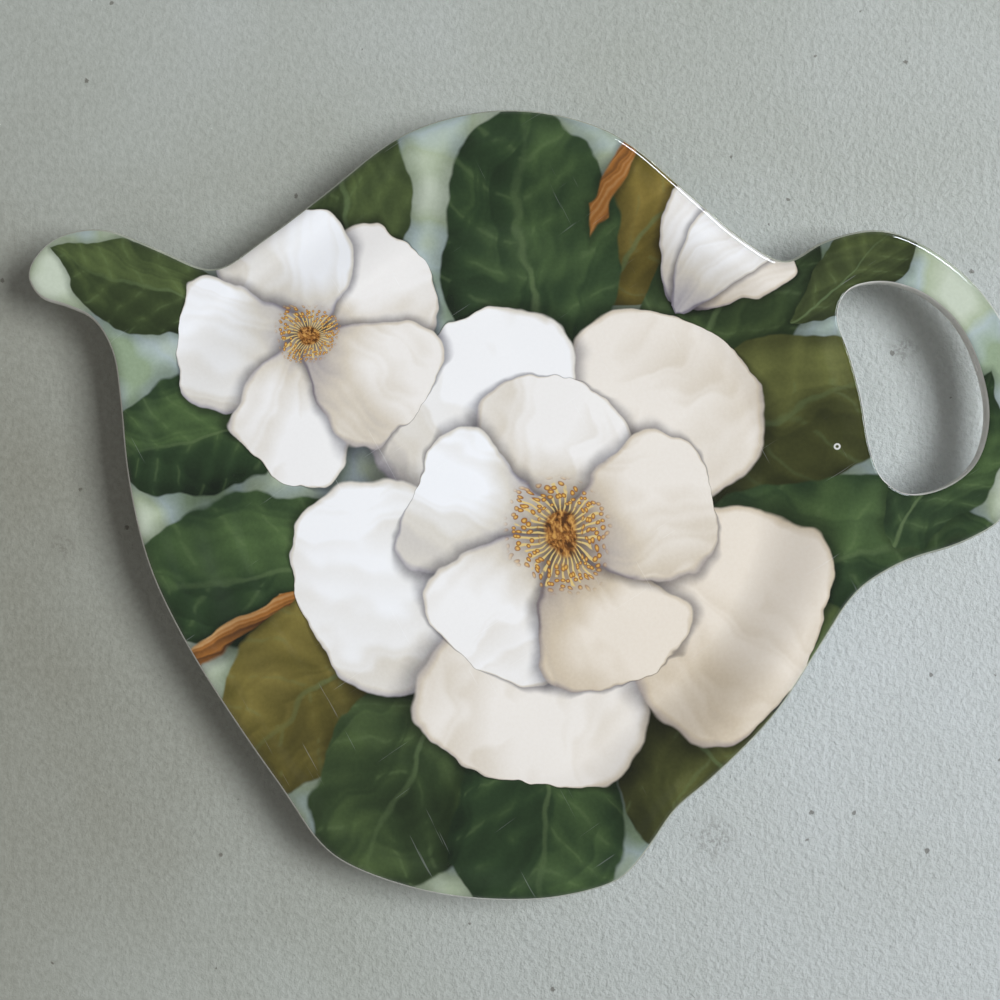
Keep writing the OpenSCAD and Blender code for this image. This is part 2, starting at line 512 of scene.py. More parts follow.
for spare in (rim_line, under_line, recess_line):
    bpy.data.objects.remove(spare)
finish_surface(foil, "printed_foil")
finish_surface(body, "moulded_dish")

# %% [markdown]
# ## Painting with nodes
# A printed picture is normally an image, but this one is built from maths, so that it stays sharp at any
# size. These helpers place one node each: a sum, a soft step, a blend of two colours, a ramp of colours.
# Colours are written the way a painter's program shows them, from 0 to 255, and turned into linear light.

# %% Node helpers
def paint(red, green, blue):
    """A colour as linear light."""
    shares = [channel / 255 for channel in (red, green, blue)]
    return (*[((s + 0.055) / 1.055) ** 2.4 if s > 0.04 else s / 12.92 for s in shares], 1)


def put(tree, kind, *values, **choices):
    """Adds a node, makes its choices, and fills its inputs in order with numbers or other nodes' outputs."""
    node = tree.nodes.new(kind)
    for name, choice in choices.items():
        setattr(node, name, choice)
    for socket, value in zip(node.inputs, values):
        if isinstance(value, bpy.types.NodeSocket):
            tree.links.new(value, socket)
        elif value is not None:
            socket.default_value = value
    return node


def maths(tree, operation, *values):
    return put(tree, "ShaderNodeMath", *values, operation=operation).outputs[0]


def vectors(tree, operation, *values):
    """The result of vector maths: a number for a distance, a length or a dot product, or else a vector."""
    outputs = put(tree, "ShaderNodeVectorMath", *values, operation=operation).outputs
    return outputs["Value" if operation in ("DISTANCE", "LENGTH", "DOT_PRODUCT") else "Vector"]


def soft_step(tree, value, low, high, start=0, end=1):
    """Runs smoothly from start to end while the value runs from low to high, and stays at the ends."""
    choices = {"interpolation_type": "SMOOTHSTEP", "clamp": False}
    return put(tree, "ShaderNodeMapRange", value, low, high, start, end, **choices).outputs[0]


def blend(tree, share, under, over, way="MIX"):
    """One colour laid over another by a share."""
    node = put(tree, "ShaderNodeMix", share, data_type="RGBA", blend_type=way)
    for socket, value in ((node.inputs[6], under), (node.inputs[7], over)):
        if isinstance(value, bpy.types.NodeSocket):
            tree.links.new(value, socket)
        else:
            socket.default_value = value
    return node.outputs[2]


def ramp(tree, value, *stops):
    """A run of colours, each with its place from 0 to 1."""
    node = put(tree, "ShaderNodeValToRGB", value)
    elements = node.color_ramp.elements
    for place, colour in stops[2:]:
        elements.new(place)
    for element, (place, colour) in zip(elements, stops):
        element.position = place
    for element, (place, colour) in zip(elements, stops):
        element.color = colour
    return node.outputs[0]


# %% [markdown]
# ## Clouds, strokes and brushes
# Noise makes clouds and mottling, and waves that bend one another make strokes. A node group is a brush that
# can be used again and again: it takes a place and a few numbers, and gives back what it has painted.

# %% Clouds, strokes and groups
def noise(tree, place, size, detail=2.0, rough=0.5):
    """Soft noise whose blotches are about as wide as the size, in the units of the place."""
    return put(tree, "ShaderNodeTexNoise", place, None, 1 / size, detail, rough, noise_dimensions="2D")


def streaks(tree, value, size):
    """Uneven waves between 0 and 1 along a value, which paint streaks where that value runs across them."""
    slow = maths(tree, "SINE", maths(tree, "MULTIPLY", value, 2.3 / size))
    bent = maths(tree, "MULTIPLY", slow, 2)
    wave = maths(tree, "SINE", maths(tree, "MULTIPLY_ADD", value, 5.9 / size, bent))
    bent = maths(tree, "MULTIPLY", wave, 1.7)
    fine = maths(tree, "SINE", maths(tree, "MULTIPLY_ADD", value, 14.3 / size, bent))
    return maths(tree, "MULTIPLY_ADD", fine, 0.2, maths(tree, "MULTIPLY_ADD", wave, 0.26, 0.5))


def object_mm(tree, flat=False):
    """The place on the piece in mm, let down to height 0 where only the plan counts."""
    in_metres = put(tree, "ShaderNodeTexCoord").outputs["Object"]
    return vectors(tree, "MULTIPLY", in_metres, (1 / MM, 1 / MM, 0 if flat else 1 / MM))


def new_group(name, inputs, outputs):
    """An empty node group with named inputs and outputs."""
    group = bpy.data.node_groups.new(name, "ShaderNodeTree")
    kinds = {"float": "NodeSocketFloat", "vector": "NodeSocketVector", "colour": "NodeSocketColor"}
    for label, kind in inputs.items():
        group.interface.new_socket(label, in_out="INPUT", socket_type=kinds[kind])
    for label, kind in outputs.items():
        group.interface.new_socket(label, in_out="OUTPUT", socket_type=kinds[kind])
    return group, put(group, "NodeGroupInput").outputs


def end_group(group, *values):
    put(group, "NodeGroupOutput", *values)


def use(tree, group, **inputs):
    """Puts a group in a tree, with its inputs by name."""
    node = put(tree, "ShaderNodeGroup", node_tree=group)
    for label, value in inputs.items():
        if isinstance(value, bpy.types.NodeSocket):
            tree.links.new(value, node.inputs[label])
        else:
            node.inputs[label].default_value = value
    return node.outputs


# %% [markdown]
# ## The shape of a petal, leaf or twig
# Each has its own small frame: along it from its root at 0 to its tip at 1, and across it from -1 to 1. The
# place in mm is moved to the root, turned with a sine and a cosine, and divided by the length and half the
# width. A curve says how wide the shape is along its length, and the depth inside that width makes the edge,
# the shading and the shadow. Only plain numbers go in, which the renderer can free again shape by shape.

# %% Shapes
SHAPE_LABELS = ("X", "Y", "Root X", "Root Y", "Turn", "Length", "Half width", "Bend")
SHAPE_INPUTS = {label: "float" for label in SHAPE_LABELS}
LEAF_WIDTHS = [(0, 0.05), (0.12, 0.45), (0.33, 0.92), (0.48, 1), (0.68, 0.82), (0.88, 0.36), (1, 0)]
PETAL_WIDTHS = [(0, 0.2), (0.2, 0.5), (0.45, 0.85), (0.68, 1), (0.86, 0.86), (0.96, 0.5), (1, 0)]
TWIG_WIDTHS = [(0, 1), (0.2, 0.75), (0.55, 0.8), (0.8, 0.6), (1, 0.9)]


def shape_group(name, widths):
    """A group that turns a place in mm into along, across and depth inside a bent shape."""
    tree, given = new_group(name, SHAPE_INPUTS, {"Along": "float", "Across": "float", "Depth": "float"})
    right = maths(tree, "SUBTRACT", given["X"], given["Root X"])
    up = maths(tree, "SUBTRACT", given["Y"], given["Root Y"])
    cosine, sine = maths(tree, "COSINE", given["Turn"]), maths(tree, "SINE", given["Turn"])
    ahead = maths(tree, "MULTIPLY_ADD", right, cosine, maths(tree, "MULTIPLY", up, sine))
    along = maths(tree, "DIVIDE", ahead, given["Length"])
    aside = maths(tree, "SUBTRACT", maths(tree, "MULTIPLY", up, cosine), maths(tree, "MULTIPLY", right, sine))
    arch = maths(tree, "MULTIPLY", along, maths(tree, "SUBTRACT", 1, along))
    arch = maths(tree, "MULTIPLY", arch, given["Bend"])
    across = maths(tree, "SUBTRACT", maths(tree, "DIVIDE", aside, given["Half width"]), arch)
    curve = put(tree, "ShaderNodeFloatCurve", 1, along)
    points = curve.mapping.curves[0].points
    for place, width in widths[1:-1]:
        points.new(place, width)
    for point, place in zip(points, widths):
        point.location = place
    curve.mapping.update()
    from_middle = maths(tree, "ABSOLUTE", maths(tree, "SUBTRACT", along, 0.5))
    beyond = maths(tree, "MAXIMUM", maths(tree, "SUBTRACT", from_middle, 0.5), 0)
    inside = maths(tree, "SUBTRACT", curve.outputs[0], maths(tree, "ABSOLUTE", across))
    slimness = maths(tree, "DIVIDE", given["Length"], given["Half width"])
    depth = maths(tree, "SUBTRACT", inside, maths(tree, "MULTIPLY", beyond, slimness))
    end_group(tree, along, across, depth)
    return tree


leaf_shape = shape_group("leaf_shape", LEAF_WIDTHS)
petal_shape = shape_group("petal_shape", PETAL_WIDTHS)
twig_shape = shape_group("twig_shape", TWIG_WIDTHS)


def shape_of(tree, shape, given):
    """The shape's along, across and depth, for the inputs of the group that paints it."""
    found = use(tree, shape, **{label: given[label] for label in SHAPE_INPUTS})
    return found["Along"], found["Across"], found["Depth"]


def cast_shadow(tree, under, depth, reach, colour, strength):
    """Darkens what lies under a shape, most of all close to its edge."""
    return blend(tree, soft_step(tree, depth, -reach, 0.05, 0, strength), under, colour, "MULTIPLY")


# %% [markdown]
# ## Leaves
# A painted leaf is a dark wash with a lighter half, pale veins that slant to the tip, and strokes that run
# along the blade. Its age takes it from deep green to olive and gold.

# %% Paint a leaf
PAINT_INPUTS = {"Under": "colour", "Cloud": "float", **SHAPE_INPUTS, "Tone": "float", "Lit side": "float"}
DEEP_GREEN, LEAF_GREEN, FRESH_GREEN = paint(24, 36, 22), paint(46, 66, 40), paint(84, 108, 64)
VEIN_GREEN = paint(108, 128, 86)
DARK_OLIVE, OLIVE, GOLD = paint(66, 60, 26), paint(112, 98, 42), paint(160, 138, 70)

leaf_paint, given = new_group("leaf_paint", PAINT_INPUTS, {"Painted": "colour"})
along, across, depth = shape_of(leaf_paint, leaf_shape, given)
side = maths(leaf_paint, "MULTIPLY", across, given["Lit side"])
half = soft_step(leaf_paint, side, -0.08, 0.1)
swept = maths(leaf_paint, "MULTIPLY", maths(leaf_paint, "ABSOLUTE", across), 0.16)
slant = maths(leaf_paint, "SUBTRACT", along, swept)
vein = maths(leaf_paint, "PINGPONG", slant, 0.065)
turned = maths(leaf_paint, "ADD", across, given["Turn"])
wander = maths(leaf_paint, "MULTIPLY_ADD", given["Cloud"], 1.2, turned)
stroke = streaks(leaf_paint, maths(leaf_paint, "MULTIPLY_ADD", slant, 1.2, wander), 0.6)
light = maths(leaf_paint, "MULTIPLY_ADD", half, 0.2, maths(leaf_paint, "MULTIPLY_ADD", stroke, 0.13, 0.165))
light = maths(leaf_paint, "MULTIPLY_ADD", given["Cloud"], 0.5, light)
light = maths(leaf_paint, "ADD", light, soft_step(leaf_paint, vein, 0, 0.05, 0.05, -0.04))
light = maths(leaf_paint, "SUBTRACT", light, soft_step(leaf_paint, depth, 0, 0.35, 0.12, 0))
green = ramp(leaf_paint, light, (0.2, DEEP_GREEN), (0.5, LEAF_GREEN), (0.85, FRESH_GREEN))
gold = ramp(leaf_paint, light, (0.2, DARK_OLIVE), (0.5, OLIVE), (0.85, GOLD))
blade = blend(leaf_paint, given["Tone"], green, gold)
midrib = soft_step(leaf_paint, maths(leaf_paint, "ABSOLUTE", across), 0.008, 0.05, 0.6, 0)
midrib = maths(leaf_paint, "MULTIPLY", midrib, soft_step(leaf_paint, along, 0.1, 0.95, 1, 0.1))
near_vein = soft_step(leaf_paint, vein, 0, 0.012, 0.2, 0)
side_veins = maths(leaf_paint, "MULTIPLY", near_vein, soft_step(leaf_paint, stroke, 0.35, 0.6))
blade = blend(leaf_paint, maths(leaf_paint, "MAXIMUM", midrib, side_veins), blade, VEIN_GREEN)
ground = cast_shadow(leaf_paint, given["Under"], depth, 0.3, paint(120, 130, 120), 0.55)
end_group(leaf_paint, blend(leaf_paint, soft_step(leaf_paint, depth, -0.015, 0.03), ground, blade))
print("a leaf takes", len(leaf_paint.nodes), "nodes")

# %% [markdown]
# ## Petals
# White petals are mostly shadow colours: lavender and grey near the heart and on the side away from the
# light, cream where the light is warm, and nearly white at the lit edge. Fine strokes run from root to tip.

# %% Paint a petal
PETAL_COLOURS = [paint(246, 247, 250), paint(221, 216, 207), paint(184, 180, 183), paint(132, 127, 138)]
WARM_LIGHT, SHADOW_UNDER = paint(240, 227, 207), paint(108, 106, 118)

petal_paint, given = new_group("petal_paint", PAINT_INPUTS, {"Painted": "colour"})
along, across, depth = shape_of(petal_paint, petal_shape, given)
side = maths(petal_paint, "MULTIPLY", across, given["Lit side"])
turned = maths(petal_paint, "ADD", across, given["Turn"])
wander = maths(petal_paint, "MULTIPLY_ADD", given["Cloud"], 0.9, turned)
stroke = streaks(petal_paint, maths(petal_paint, "MULTIPLY_ADD", along, 0.3, wander), 0.6)
shade = soft_step(petal_paint, along, 0, 0.6, 0.62, 0)
shade = maths(petal_paint, "ADD", shade, soft_step(petal_paint, side, -0.9, 0.35, 0.34, 0))
shade = maths(petal_paint, "MULTIPLY_ADD", stroke, 0.13, maths(petal_paint, "ADD", shade, 0.09))
shade = maths(petal_paint, "MULTIPLY_ADD", given["Cloud"], 0.5, shade)
shade = maths(petal_paint, "ADD", shade, soft_step(petal_paint, depth, 0, 0.1, 0.05, -0.32))
white = ramp(petal_paint, shade, *zip((0.12, 0.42, 0.75, 1), PETAL_COLOURS))
white = blend(petal_paint, given["Tone"], white, WARM_LIGHT, "MULTIPLY")
ground = cast_shadow(petal_paint, given["Under"], depth, 0.22, SHADOW_UNDER, 0.75)
end_group(petal_paint, blend(petal_paint, soft_step(petal_paint, depth, -0.012, 0.02), ground, white))
print("a petal takes", len(petal_paint.nodes), "nodes")

# %% [markdown]
# ## Twigs
# Twigs are ochre, and dark along the side away from the light. The streaks of their bark wind round them.

# %% Paint a twig
DARK_WOOD, WOOD, PALE_WOOD = paint(70, 44, 26), paint(160, 106, 50), paint(206, 170, 120)

twig_paint, given = new_group("twig_paint", PAINT_INPUTS, {"Painted": "colour"})
along, across, depth = shape_of(twig_paint, twig_shape, given)
side = maths(twig_paint, "MULTIPLY", across, given["Lit side"])
twisted = maths(twig_paint, "MULTIPLY_ADD", along, 3, maths(twig_paint, "MULTIPLY", across, 2))
bark = streaks(twig_paint, twisted, 2)
lit = soft_step(twig_paint, side, -0.9, 0.9, 0, 0.7)
light = maths(twig_paint, "ADD", lit, maths(twig_paint, "MULTIPLY", bark, 0.3))
wood = ramp(twig_paint, light, (0.2, DARK_WOOD), (0.55, WOOD), (0.9, PALE_WOOD))
ground = cast_shadow(twig_paint, given["Under"], depth, 0.8, SHADOW_UNDER, 0.5)
end_group(twig_paint, blend(twig_paint, soft_step(twig_paint, depth, -0.1, 0.15), ground, wood))
print("a twig takes", len(twig_paint.nodes), "nodes")

# %% [markdown]
# ## Hearts
# A blossom's heart is a ring of thin stamens with golden tips round a darker middle. Each stamen is a crest
# of one sine that runs round the middle, and the tips are cells that lie in a ring.

# %% Paint a heart
DARK_SEED, SEED, PALE_SEED = paint(82, 52, 26), paint(150, 98, 44), paint(206, 158, 84)
STAMENS = 34
HEART_INPUTS = {"Under": "colour", "Place": "vector", "Root": "vector", "Size": "vector"}

heart_paint, given = new_group("heart_paint", HEART_INPUTS, {"Painted": "colour"})
mapping = put(heart_paint, "ShaderNodeMapping", given["Place"], given["Root"], None, given["Size"])
mapping.vector_type = "TEXTURE"
own = mapping.outputs[0]
away = vectors(heart_paint, "LENGTH", own)
split = put(heart_paint, "ShaderNodeSeparateXYZ", own)
round_it = maths(heart_paint, "ARCTAN2", split.outputs["Y"], split.outputs["X"])
thread = maths(heart_paint, "SINE", maths(heart_paint, "MULTIPLY", round_it, STAMENS))
length = maths(heart_paint, "MULTIPLY_ADD", noise(heart_paint, own, 0.3, 2, 0.6).outputs[0], 0.8, 0.42)
on_thread = soft_step(heart_paint, thread, 0.1, 0.8)
within = soft_step(heart_paint, maths(heart_paint, "SUBTRACT", away, length), -0.05, 0.05, 1, 0)
threads = maths(heart_paint, "MULTIPLY", on_thread, within)
glow = soft_step(heart_paint, away, 0.15, 1.25, 0.85, 0)
painted = blend(heart_paint, glow, given["Under"], paint(176, 150, 96), "MULTIPLY")
painted = blend(heart_paint, maths(heart_paint, "MULTIPLY", threads, 0.9), painted, paint(226, 200, 130))
dots = put(heart_paint, "ShaderNodeTexVoronoi", own, None, 7.5, voronoi_dimensions="2D")
from_dot = dots.outputs["Distance"]
past_middle = soft_step(heart_paint, away, 0.42, 0.55)
on_ring = maths(heart_paint, "MULTIPLY", past_middle, soft_step(heart_paint, away, 0.85, 1.1, 1, 0))
on_dot = soft_step(heart_paint, from_dot, 0.28, 0.38, 1, 0)
tips = maths(heart_paint, "MULTIPLY", on_dot, on_ring)
tip_colour = ramp(heart_paint, from_dot, (0.05, paint(232, 186, 96)), (0.3, paint(140, 84, 34)))
painted = blend(heart_paint, tips, painted, tip_colour)
seed = noise(heart_paint, own, 0.12, 2, 0.6).outputs[0]
middle = ramp(heart_paint, seed, (0.35, DARK_SEED), (0.5, SEED), (0.68, PALE_SEED))
end_group(heart_paint, blend(heart_paint, soft_step(heart_paint, away, 0.3, 0.42, 1, 0), painted, middle))
print("a heart takes", len(heart_paint.nodes), "nodes")

# %% [markdown]
# ## The composition
# The picture is painted from the back: leaves, twigs, then the blossoms from their outer petals inwards.
# Each shape has a root in mm from the middle of the rest, a direction in degrees, a length, half a width, a
# bend and a tone. Each heart has its place and its size.

# %% Leaves, twigs, petals and hearts
LEAVES = [
    (-33, 22, 160, 26, 5.5, 0.5, 0.1), (-30, 10, 196, 22, 8, -0.4, 0), (-18, 26, 116, 32, 9, -0.5, 0.1),
    (-10, -4, 188, 42, 10, 0.5, 0), (-12, -12, 222, 36, 10, -0.5, 0.7), (6, 26, 36, 36, 9, 0.5, 0.9),
    (2, 12, 92, 40, 11, 0.4, 0), (14, 8, 60, 40, 10, -0.6, 0.05), (34, 22, 52, 22, 5, -0.7, 0.15),
    (14, 2, 22, 40, 9.5, 0.5, 0.3), (14, -8, 6, 46, 11, -0.5, 0), (20, -14, -34, 36, 11, 0.5, 0.1),
    (44, -6, 62, 26, 6, -1, 0), (-4, -16, -122, 40, 11, 0.4, 0.05), (4, -22, -92, 34, 11, -0.4, 0),
    (14, -18, -62, 38, 10, 0.4, 0.3)
]
TWIGS = [(-41, -20, 32, 14, 1.5, 1.2, 0), (14, 47, -118, 13, 1.4, -1.2, 0)]
PETALS = [
    (5, -3, 52, 30, 14, 0.2, 0.6), (4, -3, 126, 29, 13.5, -0.15, 0.1), (3, -4, 194, 32, 14, 0.2, 0.05),
    (4, -5, 262, 30, 14.5, -0.2, 0.5), (6, -5, 332, 32, 15, 0.15, 0.8),
    (4, -3, 88, 19, 9.5, 0.2, 0.3), (3, -4, 160, 18, 9.5, -0.2, 0), (4, -5, 232, 18, 10, 0.2, 0.2),
    (5, -5, 300, 19, 10, -0.2, 0.8), (5, -3, 14, 19, 9.5, 0.2, 0.6),
    (-26, 21, 36, 16, 8, 0.2, 0.3), (-26, 21, 110, 15, 8.5, -0.2, 0), (-27, 21, 184, 16, 8.5, 0.2, 0),
    (-26, 20, 256, 17, 8.5, -0.2, 0.2), (-26, 20, 326, 16, 8.5, 0.2, 0.4),
    (20, 25, 36, 14, 6, 0.3, 0.6), (20, 25, 76, 15, 6, -0.3, 0.2), (20, 24, 56, 17, 5, 0.2, 0.1)
]
HEARTS = [(4.4, -4, 6.5), (-26, 20.6, 4)]
print("print:", len(LEAVES), "leaves,", len(TWIGS), "twigs,", len(PETALS), "petals,", len(HEARTS), "hearts")

# %% [markdown]
# ## Painting the print
# The ground is a clouded celadon, and every shape is laid over what is painted so far. One shared wobble of
# the coordinates, wide and fine, makes every edge look drawn by hand.

# %% Compose the print
LIGHT_FROM = 60
WIDE_WOBBLE, FINE_WOBBLE = 6, 0.7
CELADONS = [paint(150, 168, 140), paint(178, 192, 192), paint(176, 188, 162), paint(200, 209, 192)]


def lit_side(turn):
    """1 where a shape's left side faces the light, -1 where its right side does."""
    return math.sin(math.radians(LIGHT_FROM - turn))


def lay(tree, paints, shapes, place, cloud, under):
    """Paints shapes one over another on a colour."""
    for x, y, turn, length, half_width, bend, tone in shapes:
        where = {"X": place[0], "Y": place[1], "Root X": x, "Root Y": y, "Turn": math.radians(turn)}
        shape = {"Length": length, "Half width": half_width, "Bend": bend}
        look = {"Tone": tone, "Lit side": lit_side(turn)}
        under = use(tree, paints, Under=under, Cloud=cloud, **where, **shape, **look)["Painted"]
    return under


def glossy(name, rough):
    """A new material with one shader, and its node tree."""
    material = bpy.data.materials.new(name)
    material.use_nodes = True
    shader = material.node_tree.nodes["Principled BSDF"]
    shader.inputs["Roughness"].default_value = rough
    return material, material.node_tree, shader


print_look, tree, glaze = glossy("print_under_glaze", 0.2)
flat_mm = object_mm(tree, flat=True)
wide = vectors(tree, "SUBTRACT", noise(tree, flat_mm, 15, 2, 0.5).outputs["Color"], (0.5, 0.5, 0))
fine = vectors(tree, "SUBTRACT", noise(tree, flat_mm, 2.4, 1, 0.5).outputs["Color"], (0.5, 0.5, 0))
place = vectors(tree, "MULTIPLY_ADD", wide, (WIDE_WOBBLE, WIDE_WOBBLE, 0), flat_mm)
place = vectors(tree, "MULTIPLY_ADD", fine, (FINE_WOBBLE, FINE_WOBBLE, 0), place)
cloud = noise(tree, flat_mm, 11, 2, 0.5).outputs[0]
painted = ramp(tree, cloud, *zip((0.3, 0.45, 0.56, 0.7), CELADONS))
split = put(tree, "ShaderNodeSeparateXYZ", place).outputs
painted = lay(tree, leaf_paint, LEAVES, split, cloud, painted)
painted = lay(tree, twig_paint, TWIGS, split, cloud, painted)
painted = lay(tree, petal_paint, PETALS, split, cloud, painted)
for x, y, size in HEARTS:
    heart = {"Root": (x, y, 0), "Size": (size, size, 1)}
    painted = use(tree, heart_paint, Under=painted, Place=place, **heart)["Painted"]
print("painted with", len(tree.nodes), "nodes")

# %% [markdown]
# ## The clear glaze over the print
# The press melts a clear glaze over the foil. It is smooth but not flat: it waves a little, it carries a few
# hairline scratches from tea spoons, and one tiny bubble left a pale ring near the handle. The print below
# it shows the fine grain of its paper.

# %% Grain, scratches, bubble and gloss
BUBBLE_AT = (38, 7.1, 0)


def bumps(tree, shader, height, distance):
    """Raises a shader's surface where the height is large, by at most the distance."""
    node = put(tree, "ShaderNodeBump")
    node.inputs["Strength"].default_value = 1
    node.inputs["Distance"].default_value = distance
    tree.links.new(height, node.inputs["Height"])
    tree.links.new(node.outputs[0], shader.inputs["Normal"])


def hairlines(tree, place, turn, spacing):
    """Thin broken lines in one direction, 1 on a line and 0 beside it."""
    size = (40 * spacing, spacing, 1)
    turned = put(tree, "ShaderNodeMapping", place, None, (0, 0, math.radians(turn)), size)
    turned.vector_type = "TEXTURE"
    return soft_step(tree, noise(tree, turned.outputs[0], 1, 3, 0.6).outputs[0], 0.74, 0.77)


grain = noise(tree, flat_mm, 0.45, 2, 0.6).outputs[0]
paper = ramp(tree, grain, (0.3, paint(96, 96, 96)), (0.7, paint(168, 168, 168)))
painted = blend(tree, 0.22, painted, paper, "SOFT_LIGHT")
scratches = maths(tree, "MAXIMUM", hairlines(tree, flat_mm, 34, 0.5), hairlines(tree, flat_mm, -61, 0.6))
painted = blend(tree, maths(tree, "MULTIPLY", scratches, 0.1), painted, paint(225, 228, 232))
from_bubble = vectors(tree, "DISTANCE", flat_mm, BUBBLE_AT)
inner_edge = soft_step(tree, from_bubble, 0.14, 0.24)
bubble = maths(tree, "MULTIPLY", inner_edge, soft_step(tree, from_bubble, 0.34, 0.44, 1, 0))
painted = blend(tree, maths(tree, "MULTIPLY", bubble, 0.85), painted, paint(240, 240, 238))
tree.links.new(painted, glaze.inputs["Base Color"])

smears = noise(tree, flat_mm, 14, 3, 0.6).outputs[0]
gloss = maths(tree, "MULTIPLY_ADD", scratches, 0.2, soft_step(tree, smears, 0.35, 0.7, 0.07, 0.15))
tree.links.new(gloss, glaze.inputs["Roughness"])
waves = maths(tree, "MULTIPLY_ADD", grain, 0.03, noise(tree, flat_mm, 7, 1, 0.4).outputs[0])
surface = maths(tree, "SUBTRACT", waves, maths(tree, "MULTIPLY", scratches, 0.05))
bumps(tree, glaze, surface, 0.07 * MM)
foil.data.materials.append(print_look)
print("glaze: roughness 0.07 to 0.15,", len(tree.nodes), "nodes in", print_look.name)

# %% [markdown]
# ## Bare melamine
# Outside the print, in the finger hole and underneath, the white moulding shows. Melamine is never quite
# even: it is faintly mottled and holds a few specks of filler. Round the top and the right, ink has bled over
# the print's edge and tints the rim's rounding. The foot ring's face is dull and grey from the table.

# %% The moulding's material
HOLE_MIDDLE = (46.5, 14, 0)

moulding, tree, shader = glossy("white_melamine", 0.2)
in_mm = object_mm(tree)
flat_mm = vectors(tree, "MULTIPLY", in_mm, (1, 1, 0))
mottle = put(tree, "ShaderNodeTexNoise", in_mm, None, 0.3, 4, 0.6).outputs[0]
white = ramp(tree, mottle, (0.3, paint(222, 219, 210)), (0.7, paint(240, 238, 233)))
filler = put(tree, "ShaderNodeTexVoronoi", in_mm, None, 0.7)
speck = soft_step(tree, filler.outputs["Distance"], 0.05, 0.1, 0.5, 0)
white = blend(tree, speck, white, paint(150, 138, 118))
height_mm = put(tree, "ShaderNodeSeparateXYZ", in_mm).outputs["Z"]
rubbed = soft_step(tree, height_mm, 0.05, 0.3, 1, 0)
grimy = maths(tree, "MULTIPLY", rubbed, soft_step(tree, mottle, 0.3, 0.6, 0.3, 0.8))
white = blend(tree, grimy, white, paint(176, 171, 160))
upper_right = vectors(tree, "DOT_PRODUCT", in_mm, (0.8, 0.6, 0))
from_hole = vectors(tree, "DISTANCE", flat_mm, HOLE_MIDDLE)
on_rim = soft_step(tree, height_mm, 6.9, 7.8)
bled = maths(tree, "MULTIPLY", on_rim, soft_step(tree, upper_right, -34, -16, 0, 0.75))
bled = maths(tree, "MULTIPLY", bled, soft_step(tree, from_hole, 14, 15.5))
ink = ramp(tree, mottle, (0.3, paint(112, 122, 96)), (0.7, paint(158, 162, 138)))
white = blend(tree, bled, white, ink)
tree.links.new(white, shader.inputs["Base Color"])
gloss = maths(tree, "MULTIPLY_ADD", rubbed, 0.35, soft_step(tree, mottle, 0.3, 0.7, 0.16, 0.28))
tree.links.new(gloss, shader.inputs["Roughness"])
ripple = put(tree, "ShaderNodeTexNoise", in_mm, None, 0.5, 3, 0.5).outputs[0]
bumps(tree, shader, ripple, 0.03 * MM)
body.data.materials.append(moulding)
print("moulding: roughness 0.16 to 0.28, rubbed to 0.6 on the foot")

# %% [markdown]
# ## The table
# The rest lies on a painted table top: pale grey, pebbled like paint from a roller, more so to the right,
# with a few tiny dark specks and scuffs. Painted shade makes it warmer and darker to the left, and a
# painted pool of light makes it cooler and lighter at the right.

# %% Table top
# where the painted shade and the painted pool of light lie, and the table's greys from shaded to lit
PAINTED_SHADE_AT, PAINTED_LIGHT_AT = (-82, -12, 0), (68, -30, 0)
TABLE_GREYS_SHADED_TO_LIT = [paint(142, 139, 124), paint(180, 183, 176), paint(206, 210, 211)]
SCUFFS = [(48, 19.6, 3.2), (24, -42, 4.5), (-58, -5, 3)]

bpy.ops.mesh.primitive_plane_add(size=1.2, location=(0, 0, -0.02 * MM))
table = bpy.context.object
table.name = table.data.name = "table"
table_look, tree, shader = glossy("painted_table", 0.7)
shader.inputs["Specular IOR Level"].default_value = 0.15
in_mm = object_mm(tree)
stain = noise(tree, in_mm, 34, 3, 0.55).outputs[0]
# painted shade towards the left point and a painted pool of light round the right one, over real stains
from_painted_shade = vectors(tree, "DISTANCE", in_mm, PAINTED_SHADE_AT)
from_painted_light = vectors(tree, "DISTANCE", in_mm, PAINTED_LIGHT_AT)
shade = soft_step(tree, from_painted_light, 20, 95, 0.88, 0.58)
shade = maths(tree, "ADD", shade, soft_step(tree, from_painted_shade, 10, 100, -0.4, 0))
shade = maths(tree, "MULTIPLY_ADD", stain, 0.3, maths(tree, "SUBTRACT", shade, 0.15))
top_colour = ramp(tree, shade, *zip((0, 0.5, 1), TABLE_GREYS_SHADED_TO_LIT))
mottle = noise(tree, in_mm, 0.85, 3, 0.68).outputs[0]
pebbles = ramp(tree, mottle, (0.3, paint(96, 96, 96)), (0.7, paint(160, 160, 160)))
top_colour = blend(tree, 0.45, top_colour, pebbles, "SOFT_LIGHT")
frayed = noise(tree, in_mm, 0.5, 2, 0.6).outputs["Color"]
uneven = vectors(tree, "MULTIPLY_ADD", frayed, (0.5, 0.5, 0), in_mm)
dirt = put(tree, "ShaderNodeTexVoronoi", uneven, None, 0.12, voronoi_dimensions="2D")
patch = soft_step(tree, noise(tree, in_mm, 12, 3, 0.7).outputs[0], 0.5, 0.66, 0, 0.04)
speck = soft_step(tree, maths(tree, "SUBTRACT", dirt.outputs["Distance"], patch), -0.012, 0.004, 0.6, 0)
for x, y, reach in SCUFFS:
    away = vectors(tree, "DISTANCE", in_mm, (x, y, 0))
    strength = soft_step(tree, away, 0, reach, 0.4, 0)
    scuff = maths(tree, "MULTIPLY", strength, soft_step(tree, mottle, 0.44, 0.62))
    speck = maths(tree, "MAXIMUM", speck, scuff)
top_colour = blend(tree, speck, top_colour, paint(78, 70, 60))
tree.links.new(top_colour, shader.inputs["Base Color"])
